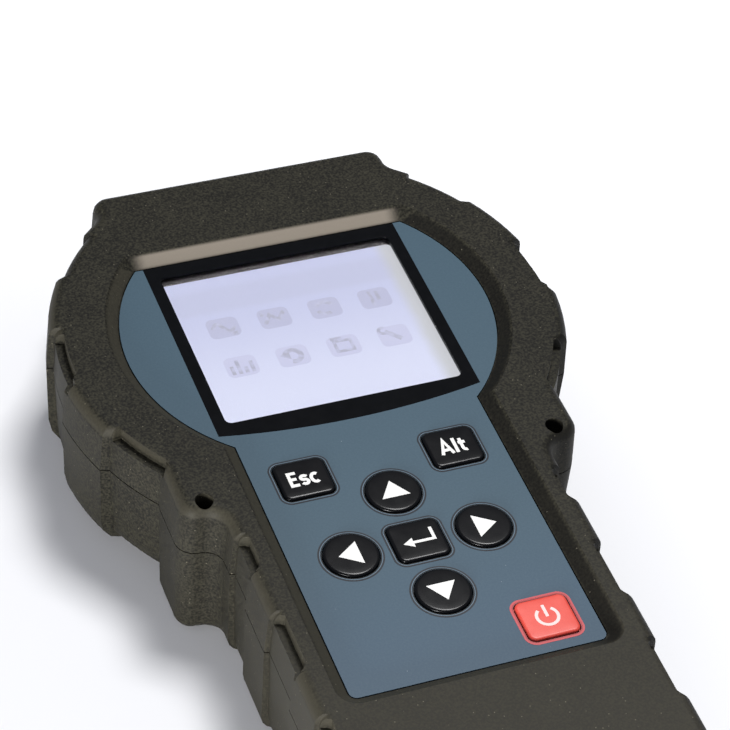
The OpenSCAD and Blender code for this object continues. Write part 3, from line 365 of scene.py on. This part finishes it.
def softened(node, finish, body="casing", round_mm=0.18):
    """A welded copy with broken edges, which stands for the solid."""
    places, triangles = welded(node)
    mesh = bpy.data.meshes.new(node + "_soft")
    mesh.from_pydata(places.tolist(), [], triangles.tolist())
    work = bmesh.new()
    work.from_mesh(mesh)
    bmesh.ops.dissolve_limit(work, angle_limit=FLAT_ANGLE, verts=work.verts, edges=work.edges)
    work.to_mesh(mesh)
    work.free()
    mesh.shade_smooth()
    mesh.set_sharp_from_angle(angle=EDGE_ANGLE)
    piece = show(mesh, node + "_soft", finish, body)
    edge = piece.modifiers.new("broken_edges", "BEVEL")
    edge.width, edge.segments, edge.limit_method = round_mm * MM, 2, "ANGLE"
    edge.angle_limit, edge.use_clamp_overlap = EDGE_ANGLE, True
    flat = piece.modifiers.new("flat_faces", "WEIGHTED_NORMAL")
    flat.keep_sharp = True
    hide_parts(node)
    print(node, "softened:", len(mesh.polygons), "faces")


for shell in ("front_shell", "rear_shell"):
    softened(shell, casing)
softened("battery_cover", casing, "battery_cover", 0.15)

# %% [markdown]
# The solids that are right as they are keep their shape and get a finish. The table pairs each with
# its material.

# %% Finishes of the solids
finishes = {
    "face_plate": film, "window_mask": surround, "window_lens": clear,
    "window_gasket": rubber, "case_seal": rubber, "lcd_frame": bezel_plastic,
    "lcd_panel": bezel_plastic, "case_screws": zinc, "board_screws": zinc,
    "battery_cover_screws": zinc, "dome_sheet": domes, "keypad_board": board,
    "main_board": board, "board_connector": white_plastic, "input_shield": zinc,
    "buzzer": black_plastic, "battery_cells": cell_wrap, "battery_contacts": nickel,
    "sensor_socket_body": nickel, "sensor_socket_nut": nickel,
    "sensor_socket_insulator": white_plastic, "sensor_socket_contact": gold,
    "usb_socket": nickel, "headphone_socket": black_plastic,
}
for node, finish in finishes.items():
    for place in nodes[node].material_slots:
        place.material = finish.material
print(len(finishes), "solids given a finish")

# %% [markdown]
# New pieces are surfaces over a grid of points: rows follow a profile, columns run round an
# outline. Whole arrays are worked out at once and handed to the mesh.

# %% Outlines and surfaces
AROUND = 96
CREASE = math.radians(32)


def circle_outline(radius):
    """Points at even angles: the radius times the angle's cosine and sine."""
    angle = np.arange(AROUND) / AROUND * 2 * np.pi
    return radius * np.stack([np.cos(angle), np.sin(angle)], -1)


def square_outline(width, height, corner):
    """Round-cornered rectangle: each angle's point lies on the circle of its own corner."""
    angle = np.arange(AROUND) / AROUND * 2 * np.pi
    turn = np.round(np.stack([np.cos(angle), np.sin(angle)], -1), 9)
    middle = np.sign(turn) * np.array([width / 2 - corner, height / 2 - corner])
    return middle + corner * turn


def surface(rows, loop=False):
    """A mesh through the rows of points, in millimetres. Columns close round; a loop of rows
    closes too, and otherwise a point in the middle closes each end."""
    count, across = rows.shape[:2]
    index = np.arange(count * across).reshape(count, across)
    nearby = np.roll(index, -1, axis=1)
    above, nearby_above = np.roll(index, -1, axis=0), np.roll(nearby, -1, axis=0)
    used = slice(None) if loop else slice(0, -1)
    faces = np.stack([index, nearby, nearby_above, above], -1)[used].reshape(-1, 4).tolist()
    points = rows.reshape(-1, 3)
    if not loop:
        points = np.vstack([points, rows[0].mean(0), rows[-1].mean(0)])
        low, high = len(points) - 2, len(points) - 1
        faces += np.stack([np.full(across, low), nearby[0], index[0]], -1).tolist()
        faces += np.stack([np.full(across, high), index[-1], nearby[-1]], -1).tolist()
    mesh = bpy.data.meshes.new("surface")
    mesh.from_pydata((points * MM).tolist(), [], faces)
    mesh.shade_smooth()
    mesh.set_sharp_from_angle(angle=CREASE)
    return mesh


print("a circle of", AROUND, "points starts at", circle_outline(1.0)[0])

# %% [markdown]
# The keys are glossy caps that stand a little proud of the film, with a soft shoulder that catches
# a line of light, a flange under the film and a stem over the snap dome. A profile carried round
# the key's outline gives all of it in one closed surface, which stands for the plainer solid.

# %% Key caps
plate_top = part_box("face_plate")[1].z / MM
KEY_CORNER, STEM, LIP, FLANGE_T = 1.7, 2.2, 1.0, 0.8
FILM_T, FILM_GAP = 0.8, 0.3
SHOULDER_IN, SHOULDER_DROP, SHOULDER_RISE, DOME = 0.7, 0.5, 0.45, 0.05
ROUND_KEYS = ("up", "left", "right", "down")


def key_place(name):
    """A key's middle, its cap's half sizes, its lower end and its top, measured on the solid in
    millimetres."""
    low, high = (np.array(v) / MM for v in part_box("key_" + name))
    return (low + high)[:2] / 2, (high - low)[:2] / 2 - LIP, low[2], high[2]


def key_outline(name, grow):
    """The cap's outline moved outwards by grow, round its own middle."""
    half = key_place(name)[1]
    if name in ROUND_KEYS:
        return circle_outline(half[0] + grow)
    return square_outline(*(2 * (half + grow)), KEY_CORNER + max(grow, -1.2))


def key_cap(name):
    """Rows: stem, flange, upright side, a quarter round as shoulder, then a shallow dome."""
    middle, _, low, top = key_place(name)
    under = plate_top - FILM_T - FILM_GAP
    turn = np.linspace(0, np.pi / 2, 7)
    start = top - SHOULDER_DROP
    shoulder = [("cap", -SHOULDER_IN * (1 - math.cos(a)), start + SHOULDER_RISE * math.sin(a))
                for a in turn]
    profile = [("stem", 0, low), ("stem", 0, under - FLANGE_T), ("cap", LIP, under - FLANGE_T),
               ("cap", LIP, under), ("cap", 0, under)] + shoulder
    rows = [np.column_stack([circle_outline(STEM) if kind == "stem" else key_outline(name, grow),
                             np.full(AROUND, z)]) for kind, grow, z in profile]
    rim = rows[-1]
    for share in (0.75, 0.5, 0.25):
        height = np.full(AROUND, top - DOME * share ** 2)
        rows.append(np.column_stack([rim[:, :2] * share, height]))
    rows = np.array(rows)
    rows[:, :, :2] += middle
    return surface(rows)


KEYS = ("esc", "alt", "up", "left", "enter", "right", "down", "power")
for name in KEYS:
    red = name == "power"
    cap = show(key_cap(name), "cap_" + name, key_red if red else key_black, "key_" + name)
    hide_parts("key_" + name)
print("key caps on plate height", round(plate_top, 2))

# %% [markdown]
# Round each key the film is printed black, then embossed with a pale ridge, then printed with a
# dark line. The power key has a dark red and a bright red line. They are narrow bands, a few
# hundredths of a millimetre high.

# %% Ridges and lines round the keys
def band(outlines, z_low, z_high):
    """A closed ring between an inner and an outer outline, with a flat top."""
    inner, outer = outlines
    rows = [np.column_stack([line, np.full(AROUND, z)]) for line, z in (
        (outer, z_low), (outer, z_high), (inner, z_high), (inner, z_low))]
    return surface(np.array(rows), loop=True)


def join(meshes, name):
    """Several meshes put into one."""
    work = bmesh.new()
    for mesh in meshes:
        work.from_mesh(mesh)
    made = bpy.data.meshes.new(name)
    work.to_mesh(made)
    work.free()
    made.set_sharp_from_angle(angle=CREASE)
    return made


FILM_OVERLAP = 0.02


def key_bands(names, start, end, rise):
    """Bands round some keys, from start to end outside their caps."""
    return join([band([key_outline(n, g) + key_place(n)[0] for g in (start, end)],
                      plate_top - FILM_OVERLAP, plate_top + rise) for n in names], "bands")


BLACK_KEYS, RED_KEYS = KEYS[:-1], KEYS[-1:]
BANDS = {
    "key_rims": (BLACK_KEYS, 0.32, 0.55, 0.03, ink_black),
    "key_ridges": (BLACK_KEYS, 0.55, 0.75, 0.06, ink_pale),
    "key_lines": (BLACK_KEYS, 0.75, 1.15, 0.03, ink_navy),
    "power_line_inner": (RED_KEYS, 0.34, 0.62, 0.03, ink_red),
    "power_line_outer": (RED_KEYS, 0.62, 1.05, 0.05, ink_pink),
}
for name, (names, start, end, rise, ink) in BANDS.items():
    show(key_bands(names, start, end, rise), name, ink, "casing")
print("bands round", len(KEYS), "keys")

# %% [markdown]
# The signs on the keys are white print, faintly pink on the red key: two short words, four
# triangles, the return arrow and the power sign. A sign is a thin plate cut to an outline. The
# letters are bold and narrow, so each is drawn by its middle lines, which a stroke of even width
# thickens.

# %% Thin plates from outlines
def plate(points, z_low, z_high):
    """A thin plate: an outline's points, anticlockwise, as floor and roof with a wall between."""
    points = np.asarray(points, float)
    count = len(points)
    low = np.column_stack([points, np.full(count, z_low)])
    high = np.column_stack([points, np.full(count, z_high)])
    index = np.arange(count)
    nearby = np.roll(index, -1)
    faces = np.stack([index, nearby, nearby + count, index + count], -1).tolist()
    faces += [index[::-1].tolist(), (index + count).tolist()]
    mesh = bpy.data.meshes.new("plate")
    mesh.from_pydata((np.vstack([low, high]) * MM).tolist(), [], faces)
    return mesh


def stroke(points, width):
    """Outline of a line of the given width: each point is moved to both sides along the mean of
    its neighbours' normals."""
    points = np.asarray(points, float)
    before, after = np.diff(points, axis=0)[[0, *range(len(points) - 1)]], np.diff(points, axis=0)
    after = np.vstack([after, after[-1:]])
    unit = [v / np.linalg.norm(v, axis=1, keepdims=True) for v in (before, after)]
    mean = unit[0] + unit[1]
    mean /= np.linalg.norm(mean, axis=1, keepdims=True)
    reach = width / 2 / np.clip((mean * unit[1]).sum(1, keepdims=True), 0.4, 1)
    side = np.column_stack([mean[:, 1], -mean[:, 0]]) * reach
    return np.vstack([points + side, (points - side)[::-1]])


# %% Letters
def arc(radius, start, end, count=24):
    """Points on an arc, angles in degrees."""
    angle = np.radians(np.linspace(start, end, count))
    return radius * np.stack([np.cos(angle), np.sin(angle)], -1)


def bow(middle, size, start, end):
    """An arc stretched to a half width and half height and moved to a middle."""
    return arc(1.0, start, end) * size + middle


# Middle lines of the letters, in shares of the capitals' height, and how wide each letter is.
LETTERS = {
    "E": (0.56, [[(0.5, 0.91), (0.09, 0.91), (0.09, 0.09), (0.5, 0.09)],
                 [(0.1, 0.51), (0.45, 0.51)]]),
    "s": (0.5, [np.vstack([bow((0.25, 0.505), (0.17, 0.13), 25, 255),
                           bow((0.25, 0.235), (0.17, 0.145), 75, -155)])]),
    "c": (0.52, [bow((0.3, 0.37), (0.21, 0.28), 52, 308)]),
    "A": (0.74, [[(0.07, 0.0), (0.37, 0.96), (0.67, 0.0)], [(0.17, 0.29), (0.57, 0.29)]]),
    "l": (0.27, [[(0.13, 0.0), (0.13, 1.0)]]),
    "t": (0.46, [np.vstack([[(0.17, 0.9), (0.17, 0.3)], bow((0.33, 0.25), (0.16, 0.16), 180, 285)]),
                 [(0.02, 0.63), (0.4, 0.63)]]),
}


def word(text, width, height, middle):
    """Outlines of a word's strokes: letters side by side, stretched to a width and a height."""
    starts = np.cumsum([0] + [LETTERS[letter][0] + 0.04 for letter in text])
    outlines = [stroke(np.asarray(line, float) + [start, 0], 0.18)
                for letter, start in zip(text, starts) for line in LETTERS[letter][1]]
    stretch = np.array([width / (starts[-1] - 0.04), height])
    return [(line - [starts[-1] / 2, 0.5]) * stretch + middle for line in outlines]


# %% Signs on the keys
def triangle(angle, base=6.6, height=4.9):
    """A triangle that points along the angle, with its middle two fifths up its height."""
    turn = math.radians(angle)
    tip = np.array([math.cos(turn), math.sin(turn)])
    side = np.array([-tip[1], tip[0]])
    return np.array([tip * height * 0.6, -tip * height * 0.4 + side * base / 2,
                     -tip * height * 0.4 - side * base / 2])


WORD_WIDTHS, WORD_HEIGHT = {"esc": 7.1, "alt": 6.7}, 4.5
ARROW_ANGLES = {"up": 90, "left": 180, "right": 0, "down": 270}
SIGNS = {
    "enter": [[(3.98, 2.7), (3.24, 2.7), (3.24, -0.3), (-1.3, -0.3), (-1.3, 0.7), (-3.6, -0.65),
               (-1.3, -2.0), (-1.3, -1.0), (3.98, -1.0)]],
    "power": [stroke(arc(2.4, 128, 412, 48), 0.72), stroke([(0, -0.1), (0, 3.2)], 0.72)],
}
STACK_STEP = 0.002


def sign_meshes(name):
    """Thin plates of a key's sign, a little above its cap. Strokes that cross in a word get
    slightly different heights, so that no two faces lie in one plane."""
    middle, _, _, top = key_place(name)
    if name in WORD_WIDTHS:
        lines = word(name.title(), WORD_WIDTHS[name], WORD_HEIGHT, middle)
    elif name in ARROW_ANGLES:
        lines = [triangle(ARROW_ANGLES[name]) + middle]
    else:
        lines = [np.array(line) + middle for line in SIGNS[name]]
    step = STACK_STEP if name in WORD_WIDTHS else 0
    return [plate(line, top - 0.04, top + 0.03 + step * k) for k, line in enumerate(lines)]


for name in KEYS:
    red = name == "power"
    show(join(sign_meshes(name), "sign_" + name), "sign_" + name, ink_blush if red else ink_white,
         "key_" + name)
print("signs on", len(KEYS), "keys")

# %% [markdown]
# Under the clear window lies the lit display. Its picture is almost washed out: a greyer bar
# across the top and two rows of four faint pictures. It is made as a thin glowing sheet just above
# the display's glass, inside a grey rim, with the pictures as thinner plates on it.

# %% Lit display
low, high = (np.array(v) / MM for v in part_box("lcd_panel"))
glass_top, glass_mid = high[2], (low + high)[:2] / 2
LIT_W, LIT_LOW, LIT_HIGH = 58.6, -26.6, 23.9


def lit_outline(grow):
    """The lit sheet's outline with small round corners."""
    outline = square_outline(LIT_W + 2 * grow, LIT_HIGH - LIT_LOW + 2 * grow, 1.6 + grow)
    return outline + glass_mid + [0, (LIT_HIGH + LIT_LOW) / 2]


sheet = np.array([np.column_stack([lit_outline(0), np.full(AROUND, glass_top + z)])
                  for z in (0.02, 0.1)])
show(surface(sheet), "display_sheet", lit, "casing")
show(band([lit_outline(0.02), lit_outline(2.0)], glass_top + 0.02, glass_top + 0.2), "display_rim",
     bezel_plastic, "casing")


# %% Faint pictures on the display
def bars(*places):
    """Upright bars from their places, lower ends and upper ends."""
    return [stroke([(x, low), (x, high)], 0.9) for x, low, high in places]


def frame_bars(half_w, half_h, width):
    """A rectangular frame as four bars."""
    corners = np.array([(-half_w, -half_h), (half_w, -half_h), (half_w, half_h), (-half_w, half_h)])
    ends = np.roll(corners, -1, axis=0)
    stretch = np.sign(ends - corners) * width / 2
    return [stroke([a - s, b + s], width) for a, b, s in zip(corners, ends, stretch)]


wave = np.column_stack([np.linspace(-2.6, 2.6, 25), 1.5 * np.sin(np.linspace(0, 2 * np.pi, 25))])
turned = arc(1.9, 150, -110)
PICTURES = [
    [stroke(wave, 1.0), stroke([(1.2, -2.4), (3.0, -2.4)], 1.2)],
    [stroke([(-2.6, -1.6), (-0.8, 1.4), (0.8, -0.8), (2.8, 1.8)], 1.0)] + bars((-2.6, 1.0, 2.4)),
    [stroke(arc(2.0, 20, 160), 1.0), stroke(arc(2.0, 200, 300), 1.0)],
    bars((-0.8, -2.6, 2.6), (0.9, -0.8, 2.2)),
    bars((-2.4, -2.4, 0.4), (-0.8, -2.4, 2.2), (0.8, -2.4, -0.4), (2.4, -2.4, 1.2)),
    [stroke(turned, 1.3), triangle(180, 3.0, 2.4) + turned[0] + [0, -0.4]],
    frame_bars(2.0, 1.7, 0.8) + [stroke([(-2.6, 2.6), (0.2, 2.6)], 0.9)],
    [stroke([(-1.8, 1.8), (1.4, -1.4)], 1.3), stroke(arc(1.0, 60, 300) + [-2.2, 2.2], 0.8)],
]
grounds, marks = [], []
for number, picture in enumerate(PICTURES):
    place = glass_mid + [(-18.9, -6.3, 6.3, 18.9)[number % 4], (6.6, -6.8)[number // 4]]
    grounds.append(plate(square_outline(7.6, 6.6, 1.6) + place, glass_top + 0.08, glass_top + 0.12))
    marks += [plate(np.array(line) + place, glass_top + 0.11, glass_top + 0.15 + STACK_STEP * k)
              for k, line in enumerate(picture)]
show(join(grounds, "picture_grounds"), "display_picture_grounds", faint, "casing")
show(join(marks, "pictures"), "display_pictures", marked, "casing")
print(len(PICTURES), "pictures on the display")

# %% [markdown]
# The sensor plugs into a bayonet socket on the far end. Its barrel carries two small studs that
# the plug's ring turns under. A stud is a short pin with a domed end.

# %% Bayonet studs
barrel_low, barrel_high = (np.array(v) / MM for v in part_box("sensor_socket_body"))
socket_x = (barrel_low[0] + barrel_high[0]) / 2
socket_z = (barrel_low[2] + barrel_high[2]) / 2
STUD_FROM_TIP, STUD_R, STUD_FOOT, STUD_SHOULDER, STUD_DOME = 4.2, 0.9, 4.2, 5.1, 0.5
stud_y = barrel_high[1] - STUD_FROM_TIP
turn = np.linspace(0, np.pi / 2, 6)[1:-1]
radii = np.concatenate([[STUD_R, STUD_R], STUD_R * np.cos(turn)])
heights = np.concatenate([[STUD_FOOT, STUD_SHOULDER], STUD_SHOULDER + STUD_DOME * np.sin(turn)])


def stud(side):
    """Circles of the profile's radii, stacked sideways from the barrel's wall."""
    rows = np.array([circle_outline(r) for r in radii])
    out = np.broadcast_to(heights[:, None], rows.shape[:2])
    if side < 0:
        rows = rows[:, ::-1]
    places = [socket_x + side * out, stud_y + rows[..., 0], socket_z + rows[..., 1]]
    return surface(np.stack(places, -1))


show(join([stud(1), stud(-1)], "studs"), "bayonet_studs", nickel, "casing")
print("studs at y", round(stud_y, 1))

# %% [markdown]
# The meter lies on a white floor that fades into a white background. Its shadow falls to the left
# and to the front with a soft edge, so the main lamp is fairly small and stands high up, a little
# to the right and behind. A low lamp in front lights the side walls. Further out the floor shines
# for the camera, so that it turns white. The light all round is dim and faintly blue.

# %% Floor and surroundings
floor_mesh = bpy.data.meshes.new("floor")
FLOOR_HALF = 6.0
GLOW_CENTRE, GLOW_START, GLOW_FULL = (-0.07, 0.03, 0), 0.06, 0.4
corners = [(x * FLOOR_HALF, y * FLOOR_HALF, 0) for x, y in ((-1, -1), (1, -1), (1, 1), (-1, 1))]
floor_mesh.from_pydata(corners, [], [(0, 1, 2, 3)])
floor = bpy.data.objects.new("floor", floor_mesh)
bpy.context.scene.collection.objects.link(floor)
paper = Finish("floor_paper", linear(240, 240, 242), 0.9, specular_ior_level=0.1)
paths = paper.tree.nodes.new("ShaderNodeLightPath")
seen, mirrored, passed = (Wire(paper, paths.outputs["Is " + ray + " Ray"])
                          for ray in ("Camera", "Glossy", "Transmission"))
far = paper.node("ShaderNodeVectorMath", {"operation": "DISTANCE"},
                 {0: paper.places, 1: GLOW_CENTRE}, "Value")
faded = paper.blend(paper.ramp(far, GLOW_START, GLOW_FULL),
                    (0.01, 0.01, 0.012, 1), (0.9, 0.9, 0.9, 1))
shine = paper.blend(seen + mirrored + passed, (0, 0, 0, 1), faded)
paper.set(emission_color=shine, emission_strength=1.0)
floor_mesh.materials.append(paper.material)
floor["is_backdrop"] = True

world = bpy.data.worlds.new("surroundings")
bpy.context.scene.world = world
world.use_nodes = True
sky = world.node_tree
back = sky.nodes["Background"]
paths = sky.nodes.new("ShaderNodeLightPath")
tint = sky.nodes.new("ShaderNodeMix")
tint.data_type = "RGBA"
tint.inputs[6].default_value, tint.inputs[7].default_value = (0.2, 0.21, 0.24, 1), (1, 1, 1, 1)
sky.links.new(paths.outputs["Is Camera Ray"], tint.inputs[0])
sky.links.new(tint.outputs[2], back.inputs["Color"])
print("floor and surroundings ready")


# %% Lamps
LIT_POINT = Vector((0, 0, 20))


def lamp(name, place, size, watts):
    """A square area lamp at a place in millimetres, facing the middle of the meter."""
    light = bpy.data.lights.new(name, "AREA")
    light.size, light.energy = size * MM, watts
    holder = bpy.data.objects.new(name, light)
    holder.location = Vector(place) * MM
    way = (LIT_POINT - Vector(place)).normalized()
    holder.rotation_mode = "QUATERNION"
    holder.rotation_quaternion = way.to_track_quat("-Z", "Y")
    bpy.context.scene.collection.objects.link(holder)


lamp("key_lamp", (190, 215, 893), 270, 7.1)
lamp("front_lamp", (-620, -740, 120), 260, 14.0)
print("lamps set")

# %% [markdown]
# The camera stands where the photograph was taken from: left of and below the meter, a little more
# than forty degrees above the floor, with a long lens. Its place and axes come from matching the
# panel's edges and keys with the picture.

# %% Camera
view = bpy.data.cameras.new("camera")
view.lens, view.sensor_width = 144.73, 36.0
view.clip_start, view.clip_end = 0.02, 50.0
camera = bpy.data.objects.new("camera", view)
right, up = Vector((0.93609, -0.34467, 0.07033)), Vector((0.19153, 0.66707, 0.71995))
ahead = Vector((0.29506, 0.66047, -0.69045))
axes = Matrix((right, up, -ahead)).transposed().to_4x4()
axes.translation = Vector((-191.96, -408.80, 467.95 + plate_top)) * MM
camera.matrix_world = axes
bpy.context.scene.collection.objects.link(camera)
bpy.context.scene.camera = camera
bpy.context.scene.view_settings.view_transform = "Standard"

# %% Sizes
boxes = [[list(v) for v in box] for box in (cad_box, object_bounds())]
print("sizes in mm", [[round(c / MM, 1) for c in v] for box in boxes for v in box])
